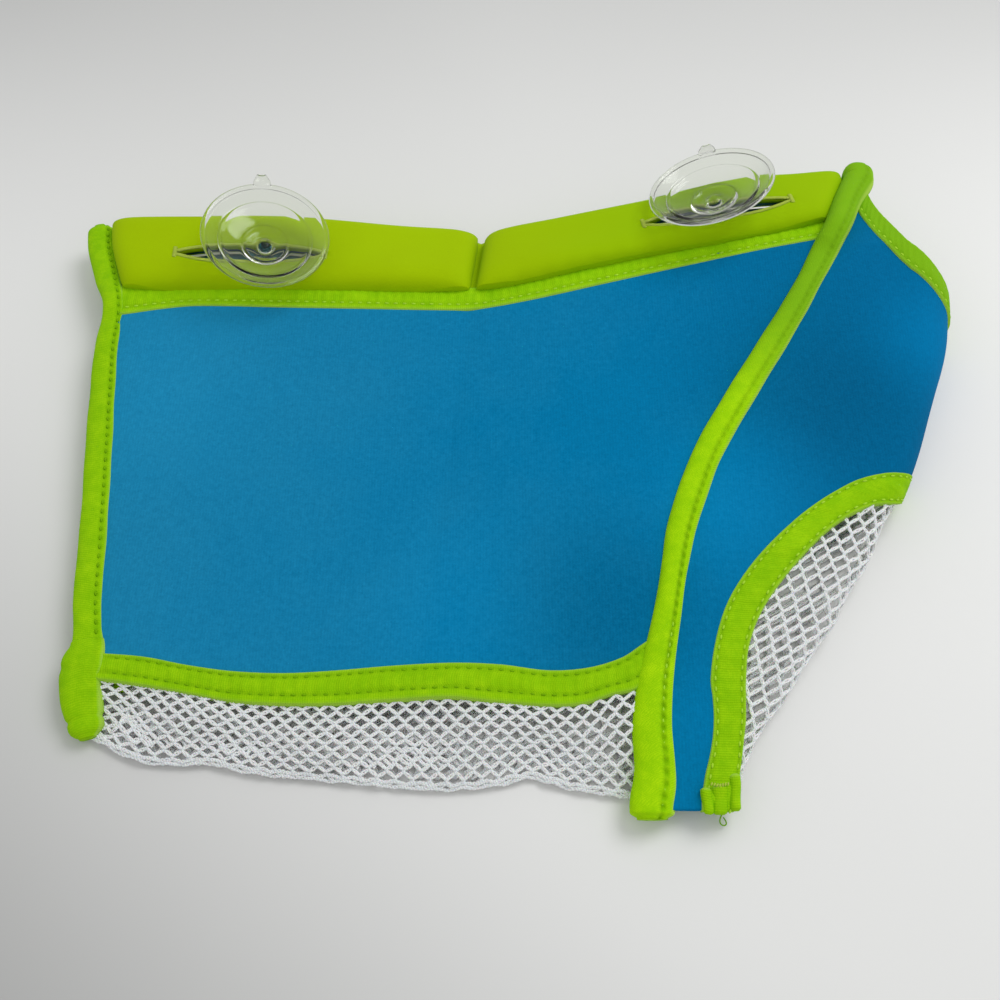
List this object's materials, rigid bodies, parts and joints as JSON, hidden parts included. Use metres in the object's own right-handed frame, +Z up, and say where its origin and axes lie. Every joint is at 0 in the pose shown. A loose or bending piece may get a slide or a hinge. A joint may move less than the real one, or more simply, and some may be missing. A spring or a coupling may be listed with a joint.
{
  "type": "corner bath toy pouch",
  "caption": "Corner bath toy pouch of neoprene with a net bottom, a padded band and suction cups in buttonhole slots, lying on its front.",
  "frame": {"origin": "centre of the bounding box in plan, on the table that the pouch lies on", "axes": "+Z up out of the wall side of the back, +Y towards the mouth, +X towards the side where the front bulges out"},
  "size_m": [0.389, 0.3, 0.0565],
  "materials": {
    "blue_neoprene": "matte knit faced foam",
    "green_tape": "matte woven binding tape",
    "lime_pad": "matte knit faced foam",
    "green_thread": "polyester thread",
    "white_net": "knitted polyester net",
    "stiffener_plate": "plain sheet",
    "clear_pvc": "clear soft PVC, glossy"
  },
  "bodies": {
    "front": {"front_panel": "blue_neoprene", "front_rim": "green_tape", "front_tape": "green_tape", "side_net": "white_net", "under_net": "white_net", "tape_end": "green_tape", "tape_tack": "green_thread"},
    "right_half": {"back_panel_right": "blue_neoprene", "back_tape_right": "green_tape", "back_net_right": "white_net", "band_hem_right": "green_tape", "band_cover_right": "lime_pad", "stiffener_right": "stiffener_plate", "buttonhole_edge_right": "green_thread", "band_crease": "lime_pad", "right_seam_binding": "green_tape"},
    "left_half": {"back_panel_left": "blue_neoprene", "back_tape_left": "green_tape", "back_net_left": "white_net", "band_hem_left": "green_tape", "band_cover_left": "lime_pad", "stiffener_left": "stiffener_plate", "buttonhole_edge_left": "green_thread"},
    "front_left": {"left_seam_binding": "green_tape", "left_seam_end": "green_tape", "front_leaf": "blue_neoprene", "leaf_rim": "green_tape", "leaf_tape": "green_tape", "leaf_net": "white_net"},
    "cup_left": {"suction_cup_left": "clear_pvc"},
    "cup_right": {"suction_cup_right": "clear_pvc"}
  },
  "joints": [
    {"name": "right_seam_fold", "type": "hinge", "parent": "front", "child": "right_half", "pos_m": [0.0615, -0.14774, 0.0085], "axis": [0.3111, 0.9499, 0.0318], "range_deg": [0, 49.2], "deforming": ["front_panel", "front_rim", "front_tape", "side_net", "tape_end", "back_net_right"]},
    {"name": "corner_fold", "type": "hinge", "parent": "right_half", "child": "left_half", "pos_m": [-0.0405, -0.13474, 0.008], "axis": [-0.1082, -0.9941, -0.002], "range_deg": [0, 90], "deforming": ["band_crease", "back_net_left"]},
    {"name": "left_seam_fold", "type": "hinge", "parent": "left_half", "child": "front_left", "pos_m": [-0.1565, -0.11974, 0.0065], "axis": [-0.1338, 0.9906, 0.0272], "range_deg": [0, 42.6], "deforming": ["leaf_net"]},
    {"name": "left_cup_slide", "type": "slide", "parent": "left_half", "child": "cup_left", "axis": [0.9998, 0.0122, -0.0164], "range_m": [-0.0276, 0.0144]},
    {"name": "right_cup_slide", "type": "slide", "parent": "right_half", "child": "cup_right", "axis": [0.9856, 0.139, 0.0959], "range_m": [-0.0205, 0.0205]}
  ],
  "couplings": [
    {"joint": "right_seam_fold", "follows": "corner_fold", "ratio": 0.5456},
    {"joint": "left_seam_fold", "follows": "corner_fold", "ratio": 0.4722}
  ]
}
